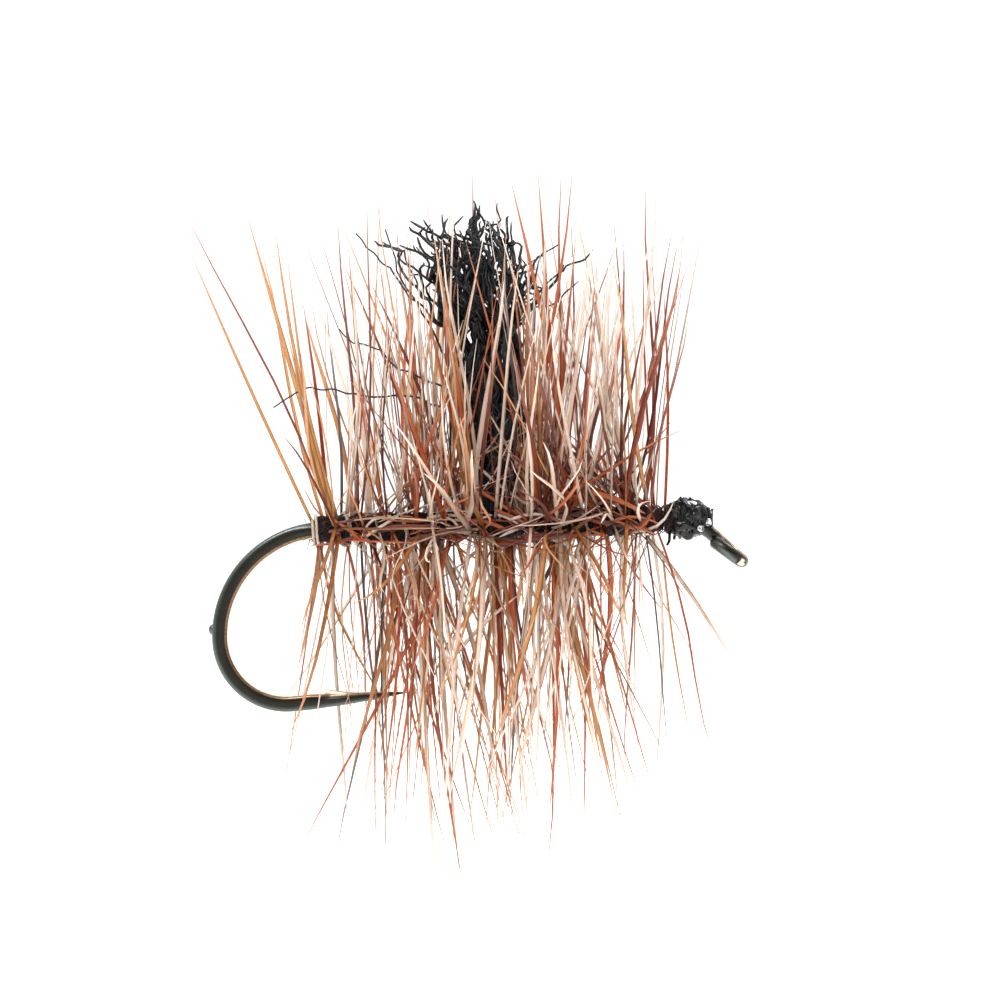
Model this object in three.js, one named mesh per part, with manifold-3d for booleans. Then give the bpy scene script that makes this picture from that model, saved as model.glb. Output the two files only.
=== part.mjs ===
// A palmered dry fly with a crinkled yarn wing, in millimetres.
// +X runs along the hook shank towards the eye, +Z is the side that the wing stands on,
// and the origin is the centre of the hook eye.
import * as THREE from 'three';
import { mergeVertices } from 'three/addons/utils/BufferGeometryUtils.js';
import Module from 'manifold-3d';

const { degToRad, lerp, clamp, smoothstep, seededRandom } = THREE.MathUtils;

// Hook: a size 10 dry-fly pattern.
const WIRE = 0.48; // wire diameter
const EYE_WIRE = 0.40; // the wire is drawn down before the eye is turned
const EYE_RADIUS = 0.52; // centre of the eye to the middle of its wire
const EYE_TILT = degToRad(43); // the eye turns down from the shank
const EYE_CLOSURE = degToRad(325); // how far round the wire goes before its cut end
const EYE_DROP = 0.12; // how far the cut end sits below the ring
const NECK_LENGTH = 0.87; // from the shank's corner to the eye's ring
const NECK_CORNER = 0.35; // how far on each side of the corner the wire is curved
const SHANK_LENGTH = 11.13;
const UPPER_BEND = 3.2; // radius of the bend's upper quarter
const LOWER_BEND = 2.0; // radius of its tighter lower quarter
const SPEAR_LENGTH = 3.45; // from the end of the bend to the point
const SPEAR_RISE = degToRad(4);
const TAPER_LENGTH = 2.9; // the ground part of the spear
const POINT_RADIUS = 0.02;
const FORGED_THICKNESS = 0.38; // across the two flats pressed into the bend
const FORGED_END = 2.0; // the flats stop this far back from the point
const FORGE_RUN = 0.9; // they fade in and out over this length of wire
const NUB_RADIUS = 0.1; // small burr on the outside of the bend

// Places that follow from the hook.
const EYE_AXIS = new THREE.Vector3(Math.cos(EYE_TILT), 0, -Math.sin(EYE_TILT));
const SHANK_Z = (EYE_RADIUS + NECK_LENGTH) * Math.sin(EYE_TILT);
const SHANK_FRONT = -(EYE_RADIUS + NECK_LENGTH) * Math.cos(EYE_TILT);
const SHANK_REAR = SHANK_FRONT - SHANK_LENGTH;

// Dressing: places along X, and radii from the shank's axis.
const GAP = 0.02; // air left between two layers of dressing
const DRESSING_REAR = SHANK_REAR - 0.3;
const TIE_IN = DRESSING_REAR + 0.72; // where the feathers and the dubbing are tied in
const TIE_IN_LENGTH = 0.5;
const WING_X = -6.95;
const WING_SEAT = 0.52; // half the length of shank that the wing's foot takes
const JAM_LENGTH = 0.3; // thread jammed against each side of the foot
const DRESSING_FRONT = -1.95; // where the body ends and the head begins
const HEAD_REAR = -1.68;
const WHIP_FINISH = -0.97;
const HEAD_FRONT = -0.46;
const THREAD_BASE = 0.31;
const BODY_RADIUS = 0.41;
const HEAD_RADIUS = 0.56;
const VARNISH_THICKNESS = 0.05;

// Wing: a sheaf of crinkled yarn.
const WING_TOP = 10.4;
const WING_LEAN = -0.04; // it leans back by this much for each unit of height
const WING_FOOT_RADIUS = 0.42;
const WING_FOOT_HEIGHT = 1.1;
const WING_SPREAD = 0.85; // how far the sheaf opens towards the top
const STRANDS = 15;
const STRAND_RADIUS = 0.17;
const FRAYED_STRANDS = 20;
const FRAYED_RADIUS = 0.07;
const FRAYED_SPREAD = 1.1; // how much further the frayed strands reach
const CRINKLE = 0.09;
const GOLDEN_ANGLE = 2.4; // spreads strands evenly round the bundle

// Hackle: two feathers wound side by side along the whole body.
const QUILL_COIL = 0.52; // shank axis to the middle of the quill
const QUILL_RADIUS = 0.065;
const QUILL_STEPS = 12; // for each turn
const PITCH = 0.82;
const WING_SKIP = 1.3; // extra advance of the turn that passes under the wing
const BARBS_PER_TURN = 8;
const BARB_LENGTH = 9.2;
const BARB_ROOT = 0.035;
const BARB_TIP = 0.012;
const BARB_BOW = 0.5; // how far a barb's tip may curl to one side

const THREAD = { color: 0x14120f, roughness: 0.45, metalness: 0 };
const BRONZE = { color: 0x3a3526, roughness: 0.35, metalness: 0.9 };
const DUBBING = { color: 0x2a1611, roughness: 0.9, metalness: 0 };
const YARN = { color: 0x121313, roughness: 0.6, metalness: 0 };
const BROWN_FEATHER = { color: 0x8a4019, roughness: 0.5, metalness: 0 };
const GRIZZLY_FEATHER = { color: 0xc9b8a6, roughness: 0.5, metalness: 0 };
const VARNISH = { color: 0x1c1a18, roughness: 0.08, metalness: 0 };

const ALONG = new THREE.Vector3(1, 0, 0);
const ACROSS = new THREE.Vector3(0, 1, 0);

const wasm = await Module();
wasm.setup();

// Repeatable scatter between low and high.
const scatter = (low, high) => lerp(low, high, seededRandom());

// A closed geometry as a solid that can be joined and cut.
function solidOf(geometry) {
  const bare = geometry.clone();
  bare.deleteAttribute('normal');
  bare.deleteAttribute('uv');
  const closed = mergeVertices(bare, 1e-5);
  return new wasm.Manifold(new wasm.Mesh({
    numProp: 3,
    vertProperties: closed.attributes.position.array,
    triVerts: closed.index.array,
  }));
}

// A solid back as a geometry, with slivers finer than the tolerance gone.
function geometryOf(solid, tolerance = 0.002) {
  const mesh = solid.asOriginal().simplify(tolerance).getMesh();
  const geometry = new THREE.BufferGeometry();
  geometry.setAttribute('position', new THREE.BufferAttribute(mesh.vertProperties, 3));
  geometry.setIndex(new THREE.BufferAttribute(mesh.triVerts, 1));
  geometry.computeVertexNormals();
  return geometry;
}

const union = (solids) => wasm.Manifold.union(solids);

// Section frames along a line of points, turning as little as they can from the first side.
function framesAlong(points, firstSide) {
  const side = firstSide.clone();
  return points.map((point, i) => {
    const before = points[Math.max(i - 1, 0)];
    const after = points[Math.min(i + 1, points.length - 1)];
    const along = after.clone().sub(before).normalize();
    side.addScaledVector(along, -side.dot(along)).normalize();
    return { point, side: side.clone(), other: along.clone().cross(side) };
  });
}

// A closed rod through the points, with its radius as a function of the share of the way along
// and of the point there. halfAt can press it flat, to a half thickness along its first side.
function rod(points, radiusAt, { sides = 8, side = ALONG, halfAt = () => Infinity } = {}) {
  const steps = points.length - 1;
  const frames = framesAlong(points, side);
  const geometry = new THREE.CylinderGeometry(1, 1, 1, sides, steps);
  const position = geometry.attributes.position;
  const place = new THREE.Vector3();
  for (let i = 0; i < position.count; i++) {
    const station = Math.round((0.5 - position.getY(i)) * steps);
    const frame = frames[station];
    const radius = radiusAt(station / steps, frame.point);
    const half = halfAt(frame.point);
    place.copy(frame.point)
      .addScaledVector(frame.side, clamp(position.getX(i) * radius, -half, half))
      .addScaledVector(frame.other, position.getZ(i) * radius);
    position.setXYZ(i, place.x, place.y, place.z);
  }
  return geometry;
}

// A ring of windings round the shank, from an inner radius out to an outline of [x, radius] pairs.
function sleeve(inner, outline, segments = 14) {
  const profile = outline.map(([x, radius]) => new THREE.Vector2(radius, x));
  profile.unshift(new THREE.Vector2(inner, profile[0].y));
  profile.push(new THREE.Vector2(inner, profile[profile.length - 1].y), profile[0].clone());
  const geometry = new THREE.LatheGeometry(profile, segments);
  geometry.rotateZ(-Math.PI / 2);
  geometry.translate(0, 0, SHANK_Z);
  return geometry;
}

// The outline of even turns of thread from x0 to x1, with grooves between them.
function turns(x0, x1, count, radiusAt, groove = 0.03) {
  const outline = [];
  for (let i = 0; i <= 2 * count; i++) {
    const t = i / (2 * count);
    outline.push([lerp(x0, x1, t), radiusAt(t) - (i % 2 ? 0 : groove)]);
  }
  return outline;
}

// The wire's centre line in the XZ plane: shank, two quarter bends and the spear.
function hookLine() {
  const line = new THREE.Path();
  const bendZ = SHANK_Z - UPPER_BEND;
  const lowerX = SHANK_REAR - UPPER_BEND + LOWER_BEND;
  line.moveTo(SHANK_FRONT - NECK_CORNER + 0.05, SHANK_Z);
  line.lineTo(SHANK_REAR, SHANK_Z);
  line.absarc(SHANK_REAR, bendZ, UPPER_BEND, Math.PI / 2, Math.PI, false);
  line.absarc(lowerX, bendZ, LOWER_BEND, Math.PI, 1.5 * Math.PI + SPEAR_RISE, false);
  const start = line.currentPoint.clone();
  for (const run of [SPEAR_LENGTH - TAPER_LENGTH, SPEAR_LENGTH - TAPER_LENGTH / 2, SPEAR_LENGTH]) {
    line.lineTo(start.x + run * Math.cos(SPEAR_RISE), start.y + run * Math.sin(SPEAR_RISE));
  }
  return line.getPoints(9).map((p) => new THREE.Vector3(p.x, 0, p.y));
}

// The neck turns down out of the shank and runs to a point on the eye's axis.
function neckLine(end) {
  const corner = new THREE.Vector3(SHANK_FRONT, 0, SHANK_Z);
  return [
    ...new THREE.QuadraticBezierCurve3(
      corner.clone().addScaledVector(ALONG, -NECK_CORNER),
      corner,
      corner.clone().addScaledVector(EYE_AXIS, NECK_CORNER),
    ).getPoints(5),
    EYE_AXIS.clone().multiplyScalar(end),
  ];
}

// The ring leaves the neck on one side, and its cut end comes back a little below the other.
function eyeRing() {
  const up = EYE_AXIS.clone().cross(ACROSS);
  const steps = 18;
  const points = [];
  for (let i = 0; i <= steps; i++) {
    const turn = lerp(0, EYE_CLOSURE, i / steps);
    points.push(new THREE.Vector3()
      .addScaledVector(EYE_AXIS, -EYE_RADIUS * Math.cos(turn))
      .addScaledVector(ACROSS, EYE_RADIUS * Math.sin(turn))
      .addScaledVector(up, -EYE_DROP * smoothstep(i / steps, 0.5, 1)));
  }
  return rod(points, (t) => (EYE_WIRE / 2) * (t > 0.96 ? 0.8 : 1), { sides: 10, side: up });
}

// The formed wire, with its flats pressed into the bend, the eye, the micro barb and the burr.
function hook() {
  const points = hookLine();
  const tip = points[points.length - 1];
  const wireAt = (t, p) => {
    if (p.z > 0) return WIRE / 2;
    return lerp(POINT_RADIUS, WIRE / 2, Math.min(p.distanceTo(tip) / TAPER_LENGTH, 1));
  };
  const pressedAt = (p) => {
    const fromShank = smoothstep(SHANK_REAR - p.x, 0.2, 0.2 + FORGE_RUN);
    const fromPoint = smoothstep(tip.x - p.x, FORGED_END, FORGED_END + FORGE_RUN);
    return p.z > 0 ? fromShank : fromPoint;
  };
  const halfAt = (p) => lerp(WIRE, FORGED_THICKNESS, pressedAt(p)) / 2;
  const wire = rod(points, wireAt, { sides: 14, side: ACROSS, halfAt });
  const neck = rod(neckLine(-EYE_RADIUS), (t) => lerp(WIRE, EYE_WIRE, t) / 2, { sides: 12, side: ACROSS });

  // The barb is a sliver cut up from the top of the spear, leaning back.
  const spear = new THREE.Vector3(Math.cos(SPEAR_RISE), 0, Math.sin(SPEAR_RISE));
  const onSpear = (back, up) => tip.clone().addScaledVector(spear, -back).setZ(tip.z - back * spear.z + up);
  const barb = rod([onSpear(1.5, 0.02), onSpear(1.95, 0.14), onSpear(2.42, 0.42)], (t) => 0.14 - 0.12 * t, {
    sides: 6,
    side: ACROSS,
  });
  const nub = new THREE.IcosahedronGeometry(NUB_RADIUS, 1);
  nub.translate(SHANK_REAR - UPPER_BEND - 0.42 * WIRE, 0, SHANK_Z - UPPER_BEND + 0.3);
  return union([wire, neck, eyeRing(), barb, nub].map(solidOf));
}

// The yarn wing: a sheaf of crinkled strands bound at its foot, with thinner ones fraying out of it.
function wing() {
  seededRandom(7);
  const foot = SHANK_Z + THREAD_BASE + 2 * GAP;
  const boundLine = [0, 0.45, 1].map((t) => new THREE.Vector3(WING_X, 0, foot + t * WING_FOOT_HEIGHT));
  const strands = [solidOf(rod(boundLine, (t) => WING_FOOT_RADIUS * (1 + 0.15 * t), { sides: 9 }))];
  const from = foot + 0.35 * WING_FOOT_HEIGHT;
  const strand = (bearing, to, spread, radius, sides) => {
    const steps = 7;
    const points = [];
    for (let step = 0; step <= steps; step++) {
      const t = step / steps;
      const crinkle = step === 0 ? 0 : CRINKLE;
      const out = 0.55 * WING_FOOT_RADIUS + spread * smoothstep(t, -0.1, 1);
      points.push(new THREE.Vector3(
        WING_X + WING_LEAN * (to - from) * t + Math.cos(bearing) * out + scatter(-crinkle, crinkle),
        0.8 * Math.sin(bearing) * out + scatter(-crinkle, crinkle),
        lerp(from, to, t),
      ));
    }
    strands.push(solidOf(rod(points, (t) => radius * (1 - 0.5 * t), { sides })));
  };
  for (let i = 0; i < STRANDS; i++) {
    const spread = WING_SPREAD * Math.sqrt((i + 0.3) / STRANDS);
    strand(i * GOLDEN_ANGLE, scatter(WING_TOP - 1.4, WING_TOP), spread, STRAND_RADIUS, 5);
  }
  for (let i = 0; i < FRAYED_STRANDS; i++) {
    const spread = WING_SPREAD + scatter(0, FRAYED_SPREAD);
    strand(i * GOLDEN_ANGLE + 1, scatter(WING_TOP - 4, WING_TOP - 0.2), spread, FRAYED_RADIUS, 3);
  }
  return union(strands);
}

// A feather wound along the body from start: the coiled quill with its barbs standing out all round.
// signature adds single barbs as [turn, lean, length].
function feather(start, seed, signature = []) {
  seededRandom(seed);
  const turnCount = (DRESSING_FRONT - 0.15 - start - WING_SKIP) / PITCH;
  const wingTurn = Math.round((WING_X - start - WING_SKIP / 2) / PITCH);
  // Whole turns are at the bottom of the body, so the long step passes under the wing.
  const quillAt = (turn) => {
    const angle = 2 * Math.PI * turn;
    return new THREE.Vector3(
      start + PITCH * turn + WING_SKIP * smoothstep(turn, wingTurn - 0.5, wingTurn + 0.5),
      QUILL_COIL * Math.sin(angle),
      SHANK_Z - QUILL_COIL * Math.cos(angle),
    );
  };
  const steps = Math.round(turnCount * QUILL_STEPS);
  const quillLine = Array.from({ length: steps + 1 }, (_, i) => quillAt((i / steps) * turnCount));
  const pieces = [solidOf(rod(quillLine, (t) => QUILL_RADIUS * (1 - 0.4 * t), { sides: 5 }))];

  const grow = (turn, lean, sweep, length) => {
    const root = quillAt(turn);
    const out = new THREE.Vector3(0, root.y, root.z - SHANK_Z).normalize();
    const round = new THREE.Vector3(0, -out.z, out.y);
    const aim = out.clone().addScaledVector(ALONG, Math.tan(lean)).addScaledVector(round, sweep).normalize();
    const bow = new THREE.Vector3().addScaledVector(ALONG, scatter(-BARB_BOW, BARB_BOW))
      .addScaledVector(round, scatter(-BARB_BOW, BARB_BOW));
    const at = (t) => root.clone().addScaledVector(aim, length * t).addScaledVector(bow, t * t);
    const points = [at(0), at(0.5), at(1)];
    pieces.push(solidOf(rod(points, (t) => lerp(BARB_ROOT, BARB_TIP, t), { sides: 3 })));
  };
  const barbCount = Math.round(turnCount * BARBS_PER_TURN);
  for (let i = 0; i < barbCount; i++) {
    const turn = ((i + scatter(0.1, 0.9)) / barbCount) * turnCount;
    const fromWing = quillAt(turn).x - WING_X;
    const onTop = Math.cos(2 * Math.PI * turn) < -0.8;
    const clearOfWing = onTop && Math.abs(fromWing) < 2 ? 0.13 * Math.sign(fromWing) : 0;
    grow(turn, scatter(-0.12, 0.12) + clearOfWing, scatter(-0.15, 0.15), BARB_LENGTH * scatter(0.75, 1.08));
  }
  for (const [turn, lean, length] of signature) grow(turn, lean, 0, length);
  return union(pieces);
}

const fly = new THREE.Group();

function add(name, geometry, finish) {
  const mesh = new THREE.Mesh(geometry, new THREE.MeshStandardMaterial(finish));
  mesh.name = name;
  fly.add(mesh);
}

add('hook', geometryOf(hook()), BRONZE);

// Thread base and the lump where the feathers and the dubbing are tied in.
const onWire = WIRE / 2 + GAP;
const onBase = THREAD_BASE + GAP;
const tieInEnd = TIE_IN + TIE_IN_LENGTH;
add('thread_underbody', sleeve(onWire, [
  [DRESSING_REAR, THREAD_BASE - 0.02],
  [WING_X, THREAD_BASE],
  [DRESSING_FRONT, THREAD_BASE],
], 16), THREAD);
add('rear_tie_in', sleeve(onBase, turns(TIE_IN, tieInEnd, 3, (t) => 0.39 + 0.05 * Math.sin(Math.PI * t))), THREAD);

// The dubbed body, behind the lump, behind the wing and in front of it.
const wingRear = WING_X - WING_SEAT;
const wingFront = WING_X + WING_SEAT;
const lumpy = (t) => BODY_RADIUS - 0.03 + 0.03 * Math.sin(9 * Math.PI * t);
add('body_tail', sleeve(onBase, turns(DRESSING_REAR, TIE_IN - GAP, 2, lumpy)), DUBBING);
add('body_rear', sleeve(onBase, turns(tieInEnd + GAP, wingRear - JAM_LENGTH - GAP, 7, lumpy)), DUBBING);
add('body_front', sleeve(onBase, turns(wingFront + JAM_LENGTH + GAP, DRESSING_FRONT, 8, lumpy)), DUBBING);

// The wing, and the thread jammed behind and in front of its foot.
const jam = (t) => 0.4 - 0.03 * t;
add('wing_wraps_rear', sleeve(onBase, turns(wingRear - JAM_LENGTH, wingRear, 3, jam, 0.02)), THREAD);
add('wing_wraps_front', sleeve(onBase, turns(wingFront, wingFront + JAM_LENGTH, 3, jam, 0.02)), THREAD);
add('wing_yarn', geometryOf(wing()), YARN);

// The two feathers, half a turn's pitch apart, with two long barbs that lean back over the bend.
const hackleRear = DRESSING_REAR + 0.1;
add('hackle_brown', geometryOf(feather(hackleRear, 11, [[0.5, -0.41, 8.7], [0.52, -0.17, 8.9]])), BROWN_FEATHER);
add('hackle_grizzly', geometryOf(feather(hackleRear + PITCH / 2, 23)), GRIZZLY_FEATHER);

// The head: feather tips tied down, the thread head, the whip finish and the varnish over them.
const neckRoom = solidOf(rod(
  [new THREE.Vector3(HEAD_REAR - 1, 0, SHANK_Z), ...neckLine(0.2)],
  () => WIRE / 2 + 1.5 * GAP,
  { sides: 14, side: ACROSS },
));
const clearOfNeck = (geometry) => geometryOf(solidOf(geometry).subtract(neckRoom));
const headAt = (t) => HEAD_RADIUS - 0.1 * (1 - t) * (1 - t) - 0.06 * t;
const tieDown = turns(DRESSING_FRONT + GAP, HEAD_REAR, 2, (t) => 0.4 + 0.05 * t);
add('hackle_tie_down', sleeve(onWire, tieDown), THREAD);
add('head_wraps', clearOfNeck(sleeve(onWire, turns(HEAD_REAR + GAP, WHIP_FINISH, 5, headAt))), THREAD);
const lastTurns = turns(WHIP_FINISH + GAP, HEAD_FRONT, 3, (t) => 0.5 - 0.2 * t);
add('whip_finish', clearOfNeck(sleeve(onWire, lastTurns)), THREAD);
add('head_varnish', sleeve(HEAD_RADIUS + GAP, [
  [HEAD_REAR + 0.1, HEAD_RADIUS + 0.6 * VARNISH_THICKNESS],
  [HEAD_REAR + 0.25, HEAD_RADIUS + VARNISH_THICKNESS],
  [WHIP_FINISH - 0.1, HEAD_RADIUS + VARNISH_THICKNESS],
  [WHIP_FINISH + 0.1, HEAD_RADIUS + 0.6 * VARNISH_THICKNESS],
], 18), VARNISH);
add('thread_tag', rod([
  new THREE.Vector3(HEAD_REAR - 0.1, -0.1, SHANK_Z - 0.5),
  new THREE.Vector3(HEAD_REAR - 0.12, -0.12, SHANK_Z - 0.62),
  new THREE.Vector3(HEAD_REAR - 0.18, -0.14, SHANK_Z - 0.75),
], () => 0.05, { sides: 6 }), THREAD);

export default fly;
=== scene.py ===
# %% [markdown]
# # A palmered dry fly
# A dry fly is a bare hook dressed by hand: thread, a body of dyed fur, a tuft of crinkled yarn for
# a wing, and two cock feathers wound along the whole body so that their barbs stand out all round.
# The packed CAD model gives every place and size. It is loaded first and left as it is, and each
# finished piece below takes the room of a named CAD node and then hides it.

# %% The tools and the fixed frame
import math
import random

import bmesh
import bpy
from mathutils import Matrix, Vector, noise


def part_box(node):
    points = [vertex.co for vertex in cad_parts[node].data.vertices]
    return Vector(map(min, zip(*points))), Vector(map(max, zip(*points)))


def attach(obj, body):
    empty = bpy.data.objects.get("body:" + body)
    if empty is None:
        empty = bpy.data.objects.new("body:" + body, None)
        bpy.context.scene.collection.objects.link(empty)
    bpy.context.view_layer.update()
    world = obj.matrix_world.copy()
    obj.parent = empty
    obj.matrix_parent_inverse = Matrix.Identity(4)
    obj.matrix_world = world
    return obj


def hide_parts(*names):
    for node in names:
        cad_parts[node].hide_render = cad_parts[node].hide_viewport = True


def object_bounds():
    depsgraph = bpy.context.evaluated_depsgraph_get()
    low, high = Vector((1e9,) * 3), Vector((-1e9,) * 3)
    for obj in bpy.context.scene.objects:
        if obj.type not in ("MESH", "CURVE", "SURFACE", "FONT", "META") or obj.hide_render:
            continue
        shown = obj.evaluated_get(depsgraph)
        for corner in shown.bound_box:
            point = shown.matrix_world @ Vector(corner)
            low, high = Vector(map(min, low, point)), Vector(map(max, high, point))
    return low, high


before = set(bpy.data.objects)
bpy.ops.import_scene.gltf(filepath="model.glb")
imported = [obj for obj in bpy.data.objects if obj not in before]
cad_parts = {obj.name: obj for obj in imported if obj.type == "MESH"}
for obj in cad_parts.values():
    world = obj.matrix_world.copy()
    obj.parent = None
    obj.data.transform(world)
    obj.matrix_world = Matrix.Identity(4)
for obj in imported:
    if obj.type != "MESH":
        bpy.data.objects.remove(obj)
cad_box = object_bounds()
print("CAD nodes:", ", ".join(sorted(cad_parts)))

# %% [markdown]
# ## Millimetres
# Blender works in metres here, but a fly is a thing of tenths of a millimetre. Every shape is
# made in millimetres, so that numbers stay readable and no operator trips over a tiny distance,
# and it is shrunk to metres in one go when it becomes a piece.

# %% Sizes in millimetres, read from the CAD nodes
MM = 0.001


def corners(node):
    """A CAD node's lowest and highest corners, in millimetres."""
    return [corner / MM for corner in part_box(node)]


def span(node):
    """Where a CAD node starts and ends along the shank."""
    low, high = corners(node)
    return low.x, high.x


base_low, base_high = corners("thread_underbody")
SHANK_Z = (base_low.z + base_high.z) / 2
DRESSING_REAR, DRESSING_FRONT = span("thread_underbody")
WING_X = (span("wing_wraps_rear")[1] + span("wing_wraps_front")[0]) / 2
ALONG, ACROSS, UP = Vector((1, 0, 0)), Vector((0, 1, 0)), Vector((0, 0, 1))
print(f"shank at z {SHANK_Z:.3f}, dressed from x {DRESSING_REAR:.2f} to {DRESSING_FRONT:.2f} mm, "
      f"wing at x {WING_X:.2f}")

# %% [markdown]
# ## Camera
# A fly is best seen from the side through a long lens, which keeps the hook's bend true to shape.
# The camera stands square to the shank, a little above the middle of the fly, and is rolled by a
# degree or two, because a fly in a clamp is never quite level.

# %% The camera
VIEW_DISTANCE = 240 * MM
VIEW_WIDTH = 29.7 * MM
VIEW_ROLL = math.radians(-1.7)
VIEW_SHIFT = Vector((0.62, 0, 1.12))  # from the middle of the CAD box
aim = (cad_box[0] + cad_box[1]) / 2
aim += VIEW_SHIFT * MM

lens = bpy.data.cameras.new("camera")
lens.lens = lens.sensor_width * VIEW_DISTANCE / VIEW_WIDTH
lens.clip_start, lens.clip_end = 0.01, 5
camera = bpy.data.objects.new("camera", lens)
bpy.context.scene.collection.objects.link(camera)
facing = Matrix.Rotation(math.radians(90), 4, "X") @ Matrix.Rotation(VIEW_ROLL, 4, "Z")
camera.matrix_world = Matrix.Translation((aim.x, -VIEW_DISTANCE, aim.z)) @ facing
bpy.context.scene.camera = camera
print(f"{lens.lens:.0f} mm lens aimed at x {aim.x / MM:.2f}, z {aim.z / MM:.2f} mm")

# %% [markdown]
# ## Shader maths
# A material is a tree of nodes. Wiring one up by hand takes several lines for each sum, so this
# small class stands for a socket and answers to +, - and *, each of which adds its Math node.
# Every other kind of node comes from one method, add(), and blend() mixes two colours.


# %% A socket that can be written in sums
class Wire:
    """An output socket that can be used in arithmetic."""

    def __init__(self, tree, socket):
        self.tree, self.socket = tree, socket

    def add(self, kind, settings, sockets, out=0):
        """Adds a node: its settings first, then the values or links of its sockets."""
        node = self.tree.nodes.new(kind)
        for name, value in settings.items():
            setattr(node, name, value)
        for name, value in sockets.items():
            if isinstance(value, Wire):
                self.tree.links.new(value.socket, node.inputs[name])
            else:
                node.inputs[name].default_value = value
        return Wire(self.tree, node.outputs[out])

    def math(self, operation, *values):
        return self.add("ShaderNodeMath", {"operation": operation}, dict(enumerate(values)))

    def __add__(self, other):
        return self.math("ADD", self, other)

    def __sub__(self, other):
        return self.math("SUBTRACT", self, other)

    def __rsub__(self, other):
        return self.math("SUBTRACT", other, self)

    def __mul__(self, other):
        return self.math("MULTIPLY", self, other)

    __radd__, __rmul__ = __add__, __mul__

    def between(self, low, high):
        """0 below low, 1 above high and a smooth ramp between them."""
        return self.add("ShaderNodeMapRange", {"interpolation_type": "SMOOTHSTEP"},
                        {0: self, 1: low, 2: high})

    def blend(self, first, second):
        """One colour where this value is 0, and another where it is 1."""
        return self.add("ShaderNodeMix", {"data_type": "RGBA"}, {0: self, 6: first, 7: second}, out=2)

    def scaled(self, x, y, z):
        """Stretches coordinates."""
        return self.add("ShaderNodeVectorMath", {"operation": "MULTIPLY"}, {0: self, 1: (x, y, z)})

    def clouds(self, size, detail=2.0):
        """Soft random patches about size millimetres across, from 0 to 1."""
        return self.add("ShaderNodeTexNoise", {},
                        {"Vector": self, "Scale": 1 / size, "Detail": detail})

    def raised(self, height):
        """A Bump node whose height is this value, in millimetres, times height."""
        return self.add("ShaderNodeBump", {}, {"Height": self, "Distance": height * MM})


print("a Wire answers to", ", ".join(name for name in vars(Wire) if not name.startswith("_")))


# %% Colours and finishes
def colour(red, green, blue):
    """A colour from 0-255 values, as the eye reads them, to the linear light that shaders use."""
    return (*(((c / 255 + 0.055) / 1.055) ** 2.4 if c > 10 else c / 255 / 12.92
              for c in (red, green, blue)), 1.0)


class Finish:
    """A material, its shader, and the wires that its pattern can start from."""

    def __init__(self, name, **constants):
        self.material = bpy.data.materials.new(name)
        self.material.use_nodes = True
        tree = self.material.node_tree
        self.shader = tree.nodes["Principled BSDF"]
        self.output = tree.nodes["Material Output"]
        place = tree.nodes.new("ShaderNodeTexCoord")
        self.place = Wire(tree, place.outputs["Object"]).scaled(1 / MM, 1 / MM, 1 / MM)
        self.set(**constants)

    def set(self, **values):
        """Sets or links shader sockets, named with _ for the spaces."""
        for name, value in values.items():
            socket = self.shader.inputs[name.replace("_", " ")]
            if isinstance(value, Wire):
                value.tree.links.new(value.socket, socket)
            else:
                socket.default_value = value

    def reading(self, attribute):
        """A value that was painted on the mesh."""
        return self.place.add("ShaderNodeAttribute", {"attribute_name": attribute}, {}, out=2)

    def glow_through(self, tint, share):
        """Lets part of the light from behind come through, as thin horn does."""
        behind = self.place.add("ShaderNodeBsdfTranslucent", {}, {"Color": tint})
        whole = Wire(behind.tree, self.shader.outputs["BSDF"])
        mixed = behind.add("ShaderNodeMixShader", {}, {0: share, 1: whole, 2: behind})
        behind.tree.links.new(mixed.socket, self.output.inputs["Surface"])


print("colour(255, 128, 0) is", [round(c, 3) for c in colour(255, 128, 0)])

# %% [markdown]
# ## From a form to a piece
# A bmesh is a free form with no place in the scene. To become a piece it needs a mesh, an object
# and a finish. It is put on the root body, and the CAD nodes that it stands for are hidden.


# %% Turning forms into pieces
def piece_from(mesh, finish, slot, *nodes):
    """Gives a mesh in millimetres its object, in metres, puts it on the root body and hides its CAD
    nodes.
    """
    mesh.transform(Matrix.Scale(MM, 4))
    mesh.materials.clear()
    mesh.materials.append(finish.material)
    mesh.shade_smooth()
    piece = bpy.data.objects.new(mesh.name, mesh)
    bpy.context.scene.collection.objects.link(piece)
    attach(piece, "root")
    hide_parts(*nodes)
    print(f"{mesh.name}: {len(mesh.polygons)} faces, for {', '.join(nodes)}")
    return piece


def mesh_from(name, form):
    """Ends a bmesh: faces turned outwards, then a mesh of that name."""
    bmesh.ops.recalc_face_normals(form, faces=form.faces)
    mesh = bpy.data.meshes.new(name)
    form.to_mesh(mesh)
    form.free()
    return mesh


# %% [markdown]
# ## Floor and light
# The fly is shown in a white light tent. A pale floor lies just under the lowest barbs, the tent
# glows all round it, and the side towards the camera is darker, because the camera looks in
# through a gap there. That darker side is what draws the dark edges on varnish and wire.
# The floor and the tent's far side are brighter than white, so no horizon shows.

# %% The floor
FLOOR_DROP, FLOOR_RADIUS = 0.6, 900
floor_form = bmesh.new()
floor_place = Matrix.Translation((aim.x / MM, 0, cad_box[0].z / MM - FLOOR_DROP))
bmesh.ops.create_circle(floor_form, cap_ends=True, segments=96, radius=FLOOR_RADIUS,
                        matrix=floor_place)
floor_mesh = mesh_from("floor", floor_form)
floor_mesh.transform(Matrix.Scale(MM, 4))
floor = bpy.data.objects.new("floor", floor_mesh)
bpy.context.scene.collection.objects.link(floor)

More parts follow.
